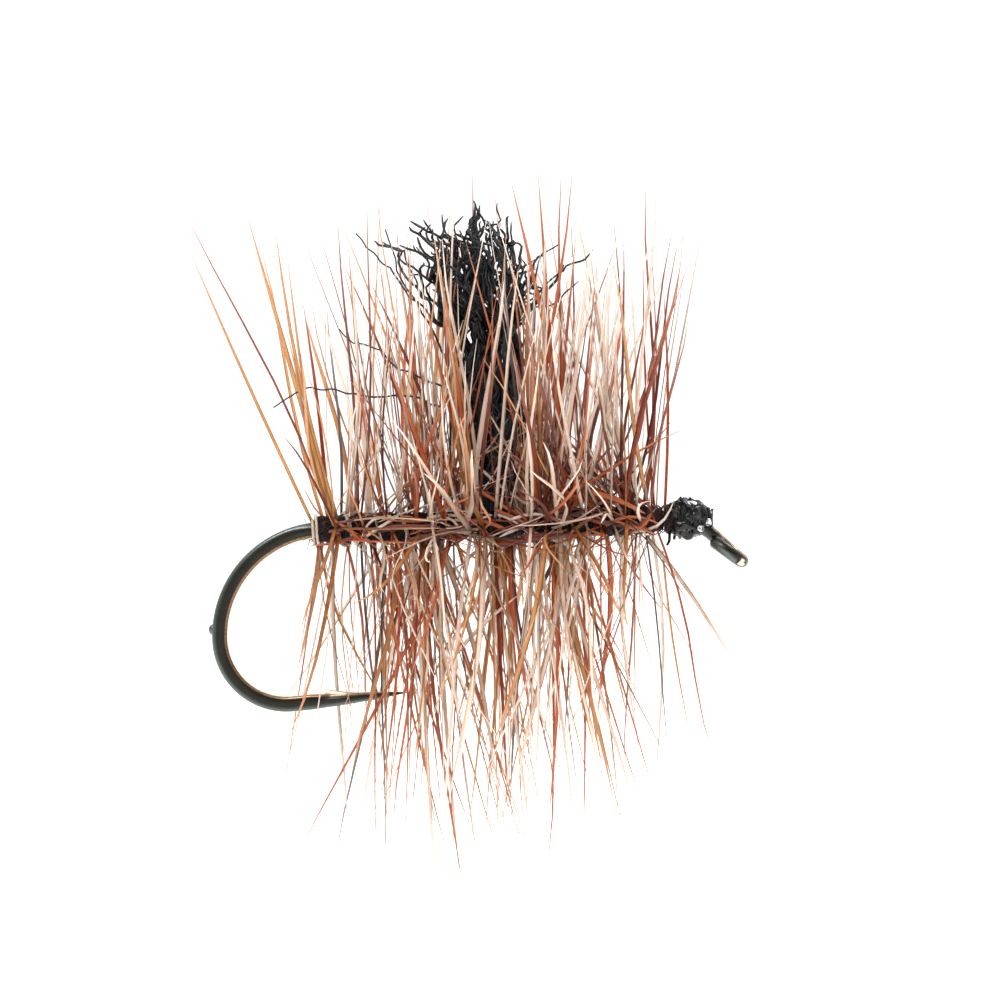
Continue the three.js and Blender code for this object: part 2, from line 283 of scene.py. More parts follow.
paper = Finish("paper", Roughness=0.9, Specular_IOR_Level=0.1)
grain = paper.place.clouds(0.8, 4)
paper.set(Base_Color=grain.blend(colour(236, 236, 234), colour(246, 246, 245)),
          Emission_Color=colour(255, 255, 255), Emission_Strength=0.55,
          Normal=grain.raised(0.02))
floor_mesh.materials.append(paper.material)
print(f"floor at z {floor_place.translation.z:.2f} mm")

# %% The tent and the lamps
TENT_DARK, TENT_LIGHT, TENT_SEEN = 0.36, 1.1, 1.3  # towards the camera, all round, and as backdrop
scene = bpy.context.scene
scene.view_settings.view_transform = "Standard"
scene.world = bpy.data.worlds.new("tent")
scene.world.use_nodes = True
tent = scene.world.node_tree
tent_light = tent.nodes["Background"]
heading = Wire(tent, tent.nodes.new("ShaderNodeTexCoord").outputs["Generated"])
axes = heading.add("ShaderNodeSeparateXYZ", {}, {0: heading})
backwards = Wire(tent, axes.socket.node.outputs["Y"])
upwards = Wire(tent, axes.socket.node.outputs["Z"])
glow = (backwards + upwards * 0.6).between(-0.75, 0.35)
strength = glow * (TENT_LIGHT - TENT_DARK) + TENT_DARK
tent.links.new(strength.socket, tent_light.inputs["Strength"])
tent_light.inputs["Color"].default_value = colour(255, 255, 255)
lit = Wire(tent, tent_light.outputs[0])
seen = lit.add("ShaderNodeBackground", {}, {"Color": colour(255, 255, 255), "Strength": TENT_SEEN})
ray = lit.add("ShaderNodeLightPath", {}, {})
both = lit.add("ShaderNodeMixShader", {}, {0: ray, 1: lit, 2: seen})
tent.links.new(both.socket, tent.nodes["World Output"].inputs["Surface"])


def lamp(name, place, size, radiance):
    """A square lamp, aimed at the fly, that is as bright as radiance all over its face."""
    light = bpy.data.lights.new(name, "AREA")
    light.size = size
    light.energy = radiance * math.pi * size * size
    holder = bpy.data.objects.new(name, light)
    scene.collection.objects.link(holder)
    away = Vector(place) - aim
    holder.matrix_world = Matrix.Translation(place) @ away.to_track_quat("Z", "Y").to_matrix().to_4x4()
    return holder


lamp("key", (-0.12, -0.26, 0.34), 0.15, 22.0)
lamp("rim", (0.20, 0.16, 0.30), 0.14, 12.0)

# %% [markdown]
# ## The hook
# A hook starts as straight wire. Its eye is turned round a peg, the bend is formed round another,
# the bend is pressed flat between two plates, and a sliver is cut up from the point for the barb.
# The model follows the same order. One ring of vertices at the middle of the shank is pushed and
# spun both ways along the wire's path. Spin does straight runs as well as bends, so the whole
# hook is one unbroken surface, with no joint to hide.

# %% The hook's sizes
WIRE = 0.48
EYE_WIRE = 0.40  # the wire is drawn down before the eye is turned
EYE_RADIUS = 0.52  # to the middle of its wire
EYE_TILT = math.radians(43)
EYE_DROP = 0.12  # how far the cut end sits below the ring
EYE_CORNER = 0.25  # the tight corner from the neck into the ring
NECK_CORNER = 0.35  # how far before the shank's corner the neck starts to turn
UPPER_BEND = 3.2
LOWER_BEND = 2.0
SPEAR_LENGTH = 3.45
SPEAR_RISE = math.radians(4)
TAPER_LENGTH = 2.9
POINT_SHARE = 0.09  # how thick the wire is at the point
FLAT = 0.19  # from the middle plane to a flat
BEND_DRESSED = 0.3  # how far the dressing runs back past the start of the bend
RING_SIDES = 28

neck_length = SHANK_Z / math.sin(EYE_TILT) - EYE_RADIUS
shank_front = -(EYE_RADIUS + neck_length) * math.cos(EYE_TILT)
bend_z = SHANK_Z - UPPER_BEND
shank_rear = DRESSING_REAR + BEND_DRESSED
print(f"neck {neck_length:.2f} mm, shank from x {shank_rear:.2f} to {shank_front:.2f} mm")


# %% Pushing and spinning a ring of wire
def vertices_of(ring):
    return [part for part in ring if isinstance(part, bmesh.types.BMVert)]


def middle_of(ring):
    points = [vertex.co for vertex in vertices_of(ring)]
    return sum(points, Vector()) / len(points)


def push(form, ring, run, steps, shrink=1.0):
    """Draws the ring along a straight run, to shrink times its size at the end."""
    for _ in range(steps):
        ring = bmesh.ops.spin(form, geom=ring, dvec=run / steps, axis=UP, angle=0, steps=1)["geom_last"]
        space = Matrix.Translation(-middle_of(ring))
        part = shrink ** (1 / steps)
        bmesh.ops.scale(form, vec=(part,) * 3, space=space, verts=vertices_of(ring))
    return ring


def turn(form, ring, centre, axis, angle, steps, shift=Vector()):
    """Spins the ring about an axis through a centre, and slides it by shift on the way."""
    made = bmesh.ops.spin(form, geom=ring, cent=centre, axis=axis, angle=angle, steps=steps,
                          dvec=shift / steps)
    return made["geom_last"]


hook_form = bmesh.new()
middle = Matrix.Translation((WING_X, 0, SHANK_Z)) @ Matrix.Rotation(math.radians(90), 4, "Y")
bmesh.ops.create_circle(hook_form, segments=RING_SIDES, radius=WIRE / 2, matrix=middle)
start = [*hook_form.verts, *hook_form.edges]
print(len(hook_form.verts), "vertices round the wire")

# %% [markdown]
# Towards the eye the wire turns down out of the shank, is drawn a little thinner, and bends
# sideways through a tight corner into the ring. The ring's cut end comes back beside the neck,
# slightly below it, as it does on a real down-eye hook.

# %% The neck and the eye
neck_way = Vector((math.cos(EYE_TILT), 0, -math.sin(EYE_TILT)))
eye_normal = neck_way.cross(ACROSS)
corner_radius = NECK_CORNER / math.tan(EYE_TILT / 2)
reach = EYE_RADIUS + EYE_CORNER
corner_back = math.sqrt(reach * reach - EYE_CORNER * EYE_CORNER)
corner_turn = math.asin(EYE_CORNER / reach)

ring = push(hook_form, start, ALONG * (shank_front - NECK_CORNER - WING_X), 6)
bend_at = middle_of(ring) - UP * corner_radius
ring = turn(hook_form, ring, bend_at, ACROSS, EYE_TILT, 8)
neck_run = -neck_way * corner_back - middle_of(ring)
ring = push(hook_form, ring, neck_way * neck_run.dot(neck_way), 4, EYE_WIRE / WIRE)
corner = middle_of(ring) + ACROSS * EYE_CORNER
ring = turn(hook_form, ring, corner, eye_normal, math.radians(90) - corner_turn, 7)
half_way = math.radians(150)
eye_closure = math.radians(326)
last_part = eye_closure - corner_turn - half_way
ring = turn(hook_form, ring, Vector(), -eye_normal, half_way, 16)
ring = turn(hook_form, ring, Vector(), -eye_normal, last_part, 16, -eye_normal * EYE_DROP)
ring = push(hook_form, ring, Vector(), 1, 0.72)
print("the eye's cut end is at", [round(c, 2) for c in middle_of(ring)], "mm")

# %% The bend, the spear and the point
spear = Vector((math.cos(SPEAR_RISE), 0, math.sin(SPEAR_RISE)))
spear_up = spear.cross(ACROSS)
lower_centre = Vector((shank_rear - UPPER_BEND + LOWER_BEND, 0, bend_z))
ring = push(hook_form, start, ALONG * (shank_rear - WING_X), 6)
ring = turn(hook_form, ring, Vector((shank_rear, 0, bend_z)), ACROSS, -math.pi / 2, 30)
ring = turn(hook_form, ring, lower_centre, ACROSS, -(math.pi / 2 + SPEAR_RISE), 24)
ring = push(hook_form, ring, spear * (SPEAR_LENGTH - TAPER_LENGTH), 4)
last_size = POINT_SHARE / (0.80 * 0.68 * 0.52)
for share, size in ((0.35, 0.80), (0.30, 0.68), (0.20, 0.52), (0.15, last_size)):
    ring = push(hook_form, ring, spear * TAPER_LENGTH * share, max(3, round(24 * share)), size)
tip = middle_of(ring)
print("the point is at", [round(c, 2) for c in tip], "mm,", len(hook_form.verts), "vertices so far")

# %% [markdown]
# Forging presses two flats into the bend, and they fade out towards the shank and towards the
# point. Pressing is a move of each vertex towards the middle plane, so it is done here in code.
# The micro barb is a sliver raised from the top of the spear: its edge is the highest place and
# faces back, and in front of it the cut slopes down to the wire.

# %% The flats and the micro barb
BARB_BACK, BARB_FRONT, BARB_HEIGHT = 2.42, 1.55, 0.15  # the first two run back from the point
SQUARENESS = 1.9  # how flat the flats are pressed


def ramp(value, low, high):
    share = min(max((value - low) / (high - low), 0), 1)
    return share * share * (3 - 2 * share)


for vertex in hook_form.verts:
    at = vertex.co
    if at.x > shank_rear + 0.01 and at.z > 0:
        continue
    pressed = ramp(shank_rear - at.x, 0.2, 1.1) if at.z > 0 else ramp(tip.x - at.x, 2.0, 2.9)
    deep = at.y / (WIRE / 2)
    squared = FLAT * math.tanh(SQUARENESS * abs(deep)) / math.tanh(SQUARENESS)
    at.y = at.y + pressed * (math.copysign(squared, deep) - at.y)
    back = (tip - at).dot(spear)
    height = (at - tip).dot(spear_up)
    if at.z < 0 and BARB_FRONT < back < BARB_BACK and height > 0.06:
        lift = (back - BARB_FRONT) / (BARB_BACK - BARB_FRONT)
        at += (UP - spear * 0.55) * BARB_HEIGHT * lift ** 1.6 * ramp(height, 0.06, 0.2)
        at.y *= 1 - 0.5 * lift
open_ends = [edge for edge in hook_form.edges if edge.is_boundary]
bmesh.ops.holes_fill(hook_form, edges=open_ends, sides=0)
print("open edges left:", sum(edge.is_boundary for edge in hook_form.edges))

# %% The burr on the bend
BURR = 0.13
burr_place = Matrix.Translation((shank_rear - UPPER_BEND - 0.38 * WIRE, 0, bend_z + 0.3))
burr = burr_place @ Matrix.Diagonal((1.15, 0.8, 1.3, 1))
bmesh.ops.create_icosphere(hook_form, subdivisions=3, radius=BURR, matrix=burr)
hook_mesh = mesh_from("hook_wire", hook_form)
print(len(hook_mesh.vertices), "vertices in the hook")

# %% [markdown]
# A hook's finish is japanned bronze: a thin brown-black lacquer over steel. Its colour is darkest on
# the flats. A painted tan highlight runs along the inner edge of the bend, with a painted cream
# highlight at the very edge and along the top of the spear, and a painted grey-green reflection lies
# outside the bend. The eye's top edge and a spot on its far end carry painted highlights too.
# A value painted on the mesh says which way each vertex of the wire faces.


# %% Painting a value on a mesh
def paint(mesh, name, values):
    layer = mesh.attributes.new(name, "FLOAT", "POINT")
    layer.data.foreach_set("value", values)


def inward(vertex):
    """How much a vertex faces the gape, from -1 to 1, or on the eye, how much it faces up; high values
    get painted highlights.
    """
    if vertex.co.z > bend_z and vertex.co.x < shank_rear:
        middle_point = Vector((shank_rear, 0, bend_z))
        radius = UPPER_BEND
    elif vertex.co.x < lower_centre.x and vertex.co.z <= bend_z:
        middle_point, radius = lower_centre, LOWER_BEND
    elif vertex.co.z < 0 and vertex.co.x < tip.x:
        # The height is measured against the thinning wire, so the painted cream highlight runs along
        # the spear's top.
        back, height = (tip - vertex.co).dot(spear), (vertex.co - tip).dot(spear_up)
        return height / (WIRE / 2 * min(1, 0.12 + 0.88 * back / TAPER_LENGTH))
    elif vertex.co.x < shank_front:
        return (SHANK_Z - vertex.co.z) / (WIRE / 2)
    else:
        # A spot on the near side of the eye's far end is set to 1 for a painted cream highlight.
        shine = (vertex.co - neck_way * 0.55 + eye_normal * 0.08 + ACROSS * 0.46).length
        return 1 if shine < 0.16 else vertex.co.dot(eye_normal) / (EYE_WIRE / 2) - 0.1
    out = vertex.co - middle_point
    return (radius - Vector((out.x, out.z)).length) / (WIRE / 2)


facing_in = [inward(vertex) for vertex in hook_mesh.vertices]
paint(hook_mesh, "inward", facing_in)
print(f"inward from {min(facing_in):.2f} to {max(facing_in):.2f}")

# %% Japanned bronze
bronze = Finish("japanned_bronze", Metallic=0.85, Coat_Weight=0.12, Coat_Roughness=0.2)
inner = bronze.reading("inward")
mottle = bronze.place.clouds(0.35, 3)
scuffs = bronze.place.scaled(1, 1, 4).clouds(0.12, 4)
lacquer = mottle.blend(colour(24, 23, 18), colour(46, 44, 35))
# Painted reflection: lighter grey-green on the outer side of the bend. Painted highlights: a tan line
# on the inner edge, broken up by the scuffs, and a cream line right at that edge.
painted_outer_reflection = (1 - inner.between(-0.98, -0.3)).blend(lacquer, colour(92, 100, 96))
painted_tan_highlight = inner.between(0.52, 0.72) * (1 - inner.between(0.80, 0.9)) * scuffs.between(0.2, 0.5)
bright = inner.between(0.86, 0.95)
coppery = painted_tan_highlight.blend(painted_outer_reflection, colour(136, 108, 82))
bronze.set(Base_Color=bright.blend(coppery, colour(232, 208, 176)),
           Roughness=0.24 + mottle * 0.14 + scuffs * 0.10,
           Normal=(scuffs * 0.6 + mottle).raised(0.004))
piece_from(hook_mesh, bronze, "hook_wire", "hook")

# %% [markdown]
# ## Strands
# Thread, quill, barbs and yarn are all the same kind of thing: a long fine strand on a path of
# its own. A curve is made for that. All strands of one colour are splines of one curve, which
# sweeps a section along each, scaled by the radius at every knot: a flat six-sided one for barbs,
# quills and hairs, and a square one for thread and yarn. The curve then becomes a mesh. Its
# vertices come out in order, strand by strand and knot by knot, so each can be told how far along
# it is, whether it is on the section's rim, and its strand's own shade. Those three painted values
# drive the colours.


# %% A spray of strands as one mesh
RIBBON = (1, 0.7, -0.7, -1, -0.7, 0.7)  # where each corner of the section is across its width
ROUND = (0, 1, 0, -1)


def spray(name, strands, flat=0.5):
    """A mesh of strands, each a (points, radii, tilt, shade). flat is thickness over width."""
    curve = bpy.data.curves.new(name, "CURVE")
    curve.dimensions, curve.fill_mode = "3D", "FULL"
    curve.bevel_resolution = 0
    curve.extrude, curve.bevel_depth = 1 - flat, flat
    section = RIBBON if flat < 1 else ROUND
    along, side, shade = [], [], []
    for points, radii, tilt, tone in strands:
        spline = curve.splines.new("POLY")
        spline.points.add(len(points) - 1)
        for i, (knot, point, radius) in enumerate(zip(spline.points, points, radii)):
            knot.co, knot.radius, knot.tilt = (*point, 1), radius, tilt
            along += [i / (len(points) - 1)] * len(section)
            side += section
            shade += [tone] * len(section)
    holder = bpy.data.objects.new(name, curve)
    bpy.context.scene.collection.objects.link(holder)
    graph = bpy.context.evaluated_depsgraph_get()
    swept = bpy.data.meshes.new_from_object(holder.evaluated_get(graph))
    bpy.data.objects.remove(holder)
    form = bmesh.new()
    form.from_mesh(swept)
    bmesh.ops.holes_fill(form, edges=[edge for edge in form.edges if edge.is_boundary], sides=0)
    bpy.data.meshes.remove(swept)
    mesh = mesh_from(name, form)
    for attribute, values in (("along", along), ("side", side), ("shade", shade)):
        paint(mesh, attribute, values)
    return mesh


THREAD_KNOTS = 16  # knots in one turn of thread


def coil(x0, x1, turns, radius_at, thick, phase=0.0, wander=0.0):
    """Thread wound round the shank from x0 to x1; radius_at gives the wind's radius along it."""
    points, radii = [], []
    count = round(abs(turns) * THREAD_KNOTS)
    for i in range(count + 1):
        share = i / count
        angle = phase + 2 * math.pi * turns * share
        out = radius_at(share) + wander * (random.random() - 0.5)
        points.append((x0 + (x1 - x0) * share, -out * math.sin(angle), SHANK_Z + out * math.cos(angle)))
        radii.append(thick * (0.4 if i in (0, count) else 1))
    return points, radii, 0.0, random.random()


print("one turn of thread has", THREAD_KNOTS * len(ROUND), "faces")

# %% [markdown]
# ## Thread
# Tying thread is waxed black nylon, about a tenth of a millimetre thick. It covers the shank
# first, then makes the lump that holds the feathers' butts, and then the collars that prop up
# the wing. It has a dull shine with a twist in it.

# %% Waxed thread
waxed = Finish("waxed_thread", Specular_IOR_Level=0.22)
twist = waxed.place.clouds(0.05, 2)
sheen = waxed.place.clouds(0.3, 2)
waxed.set(Base_Color=sheen.blend(colour(4, 4, 5), colour(22, 18, 18)),
          Roughness=0.34 + sheen * 0.25, Normal=twist.raised(0.01))
print(waxed.material.name, "made")

# %% The thread base, the tie-in lump and the wing's collars
THREAD = 0.05  # half its thickness
WIND_PITCH = 2.1 * THREAD
SEAT_LAYERS, SEAT_TURNS = 5, 7  # the wing stands on these


def wound(name, node, layers, bulge, slack=0.02):
    """Layers of thread wound to and fro over the room of a CAD node."""
    low, high = corners(node)
    core = (high.z - low.z) / 2 - THREAD
    strands = []
    for layer in range(layers):
        size = core - THREAD * 1.3 * (layers - 1 - layer)
        x0, x1 = low.x + THREAD, high.x - THREAD
        if layer % 2:
            x0, x1 = x1, x0
        radius_at = lambda share, size=size: size + bulge * math.sin(math.pi * share)
        count = max(2, (high.x - low.x) / WIND_PITCH)
        strands.append(coil(x0, x1, count, radius_at, THREAD, phase=2.1 * layer, wander=slack))
    return piece_from(spray(name, strands, flat=1.0), waxed, "tying_thread", node)


random.seed(3)
seat_rear, seat_front = span("wing_wraps_rear")[1], span("wing_wraps_front")[0]
base_turns = (DRESSING_FRONT - DRESSING_REAR) / WIND_PITCH
windings = [coil(DRESSING_REAR, DRESSING_FRONT, base_turns, lambda share: 0.26, THREAD)]
for layer in range(SEAT_LAYERS):
    turns = SEAT_TURNS * (-1) ** layer
    windings.append(coil(seat_rear, seat_front, turns, lambda share: 0.31 + 0.03 * layer, THREAD,
                         phase=1.7 * layer, wander=0.07))
piece_from(spray("thread_base", windings, 1.0), waxed, "tying_thread", "thread_underbody")
wound("tie_in_lump", "rear_tie_in", 3, 0.04, slack=0.07)
wound("wing_collar_rear", "wing_wraps_rear", 2, 0.0, slack=0.04)
wound("wing_collar_front", "wing_wraps_front", 2, 0.0, slack=0.04)

# %% [markdown]
# ## The dubbed body
# Dubbing is dyed fur twisted onto the thread and wound on. It makes a soft uneven rope with loose
# hairs all over it. The rope is a tube, drawn ring by ring along the shank and pushed in and out
# by noise, and the loose hairs are short strands that start on it, lie round it and lift off.


# %% The fur rope
def rope(name, node, swell):
    """A lumpy wound tube over the room of a CAD node."""
    low, high = corners(node)
    core = (high.z - low.z) / 2
    form = bmesh.new()
    place = Matrix.Translation((low.x, 0, SHANK_Z)) @ Matrix.Rotation(math.radians(90), 4, "Y")
    bmesh.ops.create_circle(form, segments=36, radius=core, matrix=place)
    steps = round((high.x - low.x) / 0.05)
    push(form, [*form.verts, *form.edges], ALONG * (high.x - low.x), steps)
    bmesh.ops.holes_fill(form, edges=[edge for edge in form.edges if edge.is_boundary], sides=0)
    for vertex in form.verts:
        out = Vector((0, vertex.co.y, vertex.co.z - SHANK_Z))
        angle = math.atan2(out.y, out.z)
        share = (vertex.co.x - low.x) / (high.x - low.x)
        ends = min(1, 0.72 + 4 * min(share, 1 - share))
        winding = math.cos(angle + 2 * math.pi * vertex.co.x / 0.42)
        lumps = noise.noise(vertex.co * 1.6) * swell + noise.noise(vertex.co * 5) * 0.09
        size = ends * (1 + 0.07 * winding + lumps + noise.noise(vertex.co * 14) * 0.06)
        vertex.co = Vector((vertex.co.x, 0, SHANK_Z)) + out * size
    return mesh_from(name, form)


fur = Finish("dyed_fur", Roughness=0.85, Specular_IOR_Level=0.2)
strand_lines = fur.place.scaled(0.5, 1.6, 1.6).clouds(0.07, 4)
patches = fur.place.clouds(0.5, 3)
dark_fur = patches.between(0.35, 0.7).blend(colour(10, 6, 7), colour(38, 18, 16))
fur.set(Base_Color=strand_lines.between(0.55, 0.8).blend(dark_fur, colour(90, 42, 32)),
        Normal=strand_lines.raised(0.05))
for name, node in (("fur_tail", "body_tail"), ("fur_rear", "body_rear"), ("fur_front", "body_front")):
    piece_from(rope(name, node, 0.16), fur, "dubbing", node)


# %% The loose hairs of the fur
def loose_hair(node, lift):
    """A short hair that starts on the rope, wraps part of the way round and ends off it."""
    low, high = corners(node)
    core = (high.z - low.z) / 2
    x, angle = random.uniform(low.x, high.x), random.uniform(0, 2 * math.pi)
    pitch, sweep = random.uniform(-0.9, 0.9), random.uniform(0.6, 2.4) * random.choice((-1, 1))
    height, knots = random.uniform(0.02, 1) ** 2 * lift, 8
    points, radii = [], []
    for i in range(knots):
        t = i / (knots - 1)
        out = core * 0.96 + height * t * t + 0.04 * math.sin(9 * t + angle)
        turned = angle + sweep * t
        points.append((x + pitch * t, -out * math.sin(turned), SHANK_Z + out * math.cos(turned)))
        radii.append(random.uniform(0.014, 0.03) * (1 - 0.75 * t))
    return points, radii, random.uniform(0, 3), random.random()


random.seed(5)
hair = Finish("loose_fur", Roughness=0.5, Specular_IOR_Level=0.5)
hair_shade = hair.reading("shade")
hair.set(Base_Color=hair_shade.between(0.55, 0.95).blend(colour(24, 16, 16), colour(118, 52, 38)))
hair.glow_through(colour(150, 60, 40), 0.15)
for name, node, count in (("hairs_tail", "body_tail", 26), ("hairs_rear", "body_rear", 150),
                          ("hairs_front", "body_front", 150)):
    hairs = [loose_hair(node, 0.32) for _ in range(count)]
    piece_from(spray(name, hairs), hair, "dubbing", node)

# %% [markdown]
# ## The feathers' quills
# A cock feather's stem is flattened and springy. Two are wound side by side, one brown and one
# cream, with a long step under the wing. The first turns of the cream one show bare at the very
# rear, where the barbs were stripped off.

# %% Winding the quills
PITCH = 0.82
WING_SKIP = 1.3
COIL = 0.50
HACKLE_REAR = DRESSING_REAR + 0.1
HACKLE_FRONT = DRESSING_FRONT - 0.15


def quill_at(start, turns):
    """A point on a quill after a number of turns, and its bearing round the shank from straight up."""
    wing_turn = round((WING_X - start - WING_SKIP / 2) / PITCH)
    x = start + PITCH * turns + WING_SKIP * ramp(turns, wing_turn - 0.5, wing_turn + 0.5)
    bearing = math.pi + 2 * math.pi * turns
    return Vector((x, -COIL * math.sin(bearing), SHANK_Z + COIL * math.cos(bearing))), bearing


def quill(start, thick):
    count = (HACKLE_FRONT - start - WING_SKIP) / PITCH
    steps = round(count * 18)
    points = [quill_at(start, count * i / steps)[0] for i in range(steps + 1)]
    radii = [thick * (1 - 0.45 * i / steps) for i in range(steps + 1)]
    return points, radii, 0.0, 0.5


horn = Finish("quill_brown", Roughness=0.4)
horn_marks = horn.place.clouds(0.25, 3)
horn.set(Base_Color=horn_marks.blend(colour(92, 36, 22), colour(150, 74, 46)))
pale_horn = Finish("quill_cream", Roughness=0.4)
pale_marks = pale_horn.place.clouds(0.25, 3)
pale_horn.set(Base_Color=pale_marks.blend(colour(126, 104, 88), colour(214, 196, 176)))
piece_from(spray("stem_brown", [quill(HACKLE_REAR, 0.075)], 0.45), horn, "brown_hackle", "hackle_brown")
stripped = coil(DRESSING_REAR - 0.02, DRESSING_REAR + 0.14, 1.6, lambda share: 0.37, 0.095, phase=0.5)
pale_quills = [quill(HACKLE_REAR + PITCH / 2, 0.065), stripped]
piece_from(spray("stem_cream", pale_quills, 0.45), pale_horn, "grizzly_hackle", "hackle_grizzly")

# %% [markdown]
# ## The barbs
# What makes a dry fly float is its stiff barbs. Each is a flat springy ribbon that tapers to a
# hair, stands out square to the shank and leans a few degrees fore or aft. There are hundreds, so
# each has seven knots and a few dozen faces. A seeded draw scatters them round the quills, thinly
# at both ends and before the wing. Then come the untidy ones, and a few that are placed one by one.


# %% One barb
BARB_KNOTS = (0, 0.1, 0.26, 0.45, 0.65, 0.84, 1)
BARB_TAPER = (0.85, 1.0, 1.0, 0.95, 0.82, 0.55, 0.12)


def barb(root, bearing, lean, length, width, sweep=0.0, bow=(0.0, 0.0), tilt=None, tone=None):
    """A barb from its root: bearing is from straight up towards the viewer, lean is towards the eye."""
    out = Vector((0, -math.sin(bearing), math.cos(bearing)))
    sideways = Vector((0, -out.z, out.y))
    way = (out + ALONG * math.tan(lean) + sideways * sweep).normalized()
    curl = ALONG * bow[0] + sideways * bow[1]
    kink = random.gauss(0, 0.10)
    points = [root + way * length * t + curl * t * t + ALONG * kink * math.sin(5 * t)
              for t in BARB_KNOTS]
    radii = [width * taper for taper in BARB_TAPER]
    tilt = random.uniform(0, math.pi) if tilt is None else tilt
    return points, radii, tilt, random.random() if tone is None else tone


print("a barb has", (len(BARB_KNOTS) - 1) * len(RIBBON) + 2, "faces")


# %% Scattered barbs
def turns_at(start, x):
    """How many turns the quill has made when it reaches x."""
    low, high = 0.0, (HACKLE_FRONT - start) / PITCH
    for _ in range(24):
        middle_turn = (low + high) / 2
        low, high = (middle_turn, high) if quill_at(start, middle_turn)[0].x < x else (low, middle_turn)
    return low


def scattered_barb(start, x, length, width):
    """A barb at a random place beside x, leaning out a little more towards the ends of the body."""
    root, bearing = quill_at(start, turns_at(start, x))
    fan = 0.06 * (root.x - WING_X) / (DRESSING_FRONT - WING_X)
    bearing = (bearing + random.gauss(0, 0.35) + math.pi) % (2 * math.pi) - math.pi
    bearing -= 0.2 * math.sin(2 * bearing)
    if abs(root.x - WING_X) < 1.2 and abs(bearing) < 0.25:
        bearing = math.copysign(random.uniform(0.2, 0.5), bearing)
    bow = random.gauss(0, 0.5), random.gauss(0, 0.5)
    spread = 0.15 if abs(bearing) < math.pi / 2 else 0.21
    lean = random.gauss(fan, spread) * (0.3 + 0.7 * abs(math.cos(bearing)))
    return barb(root, bearing, lean, length, width, random.gauss(0, 0.12), bow)


print(f"the brown quill makes {turns_at(HACKLE_REAR, WING_X):.1f} turns behind the wing")

# %% How thick the barbs stand, and the two feathers
# Each stop is (share of the body's length from its rear, thickness).
CROWD_ABOVE = ((0, 0.48), (0.20, 0.42), (0.30, 0.60), (0.46, 0.62), (0.61, 1.0), (0.70, 1.0),
               (0.80, 0.62), (0.95, 0.33))
CROWD_BELOW = ((0, 0.25), (0.14, 0.22), (0.22, 0.42), (0.30, 0.86), (0.46, 0.26), (0.54, 0.38),
               (0.66, 0.92), (0.80, 0.34), (0.95, 0.30))
LONGEST_BELOW = 10.3  # under the shank
SHORT_ONES = 0.72  # one barb in five is shorter
WING_SHOWS = 0.36  # how many of the barbs that stand right in front of the wing are kept


def crowding(x, stops):
    """How thick the barbs are on the quill at x, from (share of the body's length, thickness) stops."""
    fore = min(max((x - DRESSING_REAR) / (DRESSING_FRONT - DRESSING_REAR), 0), 0.94)
    low, high = next(pair for pair in zip(stops, stops[1:]) if fore < pair[1][0])
    return low[1] + (high[1] - low[1]) * (fore - low[0]) / (high[0] - low[0])


def feather(start, per_mm, low, high):
    """A feather's barbs, in order along the quill. The thicker the place, the more of them are kept."""
    barbs = []
    for i in range(round((HACKLE_FRONT - start) * per_mm)):
        x = start + (i + random.random()) / per_mm
        length = random.uniform(low, high) * (1 if random.random() < 0.8 else SHORT_ONES)
        made = scattered_barb(start, x, length, 0.028 + 0.056 * random.random() ** 1.3)
        above = made[0][-1].z > SHANK_Z
        if not above:
            share = 1.12 if WING_X - 4.4 < x < WING_X - 1 else 0.9 if x > WING_X + 2 else 1
            trim = min(length * share, LONGEST_BELOW) / length
            made = ([made[0][0].lerp(point, trim) for point in made[0]], *made[1:])
        halfway = made[0][3]
        veils_wing = above and halfway.y < 0 and abs(halfway.x - WING_X) < 0.8
        kept = crowding(x, CROWD_ABOVE if above else CROWD_BELOW) * (WING_SHOWS if veils_wing else 1)
        if random.random() < kept:
            barbs.append(made)
    return barbs


random.seed(11)
brown_barbs = feather(HACKLE_REAR, 60, 7.8, 10.3)
random.seed(23)
cream_barbs = feather(HACKLE_REAR + PITCH / 2, 54, 7.4, 10.2)
print(len(brown_barbs), "brown barbs and", len(cream_barbs), "cream barbs")


# %% The colours of the barbs
def barb_finish(name, edge, heart, tip_colour, through, share, barred=0.0, bar=None):
    """Horn with painted shade darkening its edges, one side more, clear in the middle and palest at its
    tip.
    """
    made = Finish(name, Roughness=0.36, Specular_IOR_Level=0.45)
    along, side, tone = made.reading("along"), made.reading("side"), made.reading("shade")
    streaks = made.place.scaled(1, 1, 0.3).clouds(0.25, 3)
    body_colour = (tone * 0.6 + streaks * 0.6).between(0.15, 0.85).blend(edge, heart)
    # Painted shade: the colour darkens towards both edges of the barb, one side more than the other.
    rim = (side * (side * 0.8 + (tone - 0.5) * 1.2)).between(0.05, 0.6)
    edge_shaded = (rim * 0.85).blend(body_colour, edge)
    if bar is not None:
        bands = (along * 17 + tone * 40).math("SINE", along * 17 + tone * 40).between(0.0, 0.8)
        edge_shaded = (bands * barred).blend(edge_shaded, bar)
    made.set(Base_Color=along.between(0.5, 1.1).blend(edge_shaded, tip_colour))
    made.glow_through(through, (1 - rim * 0.85) * share)
    return made


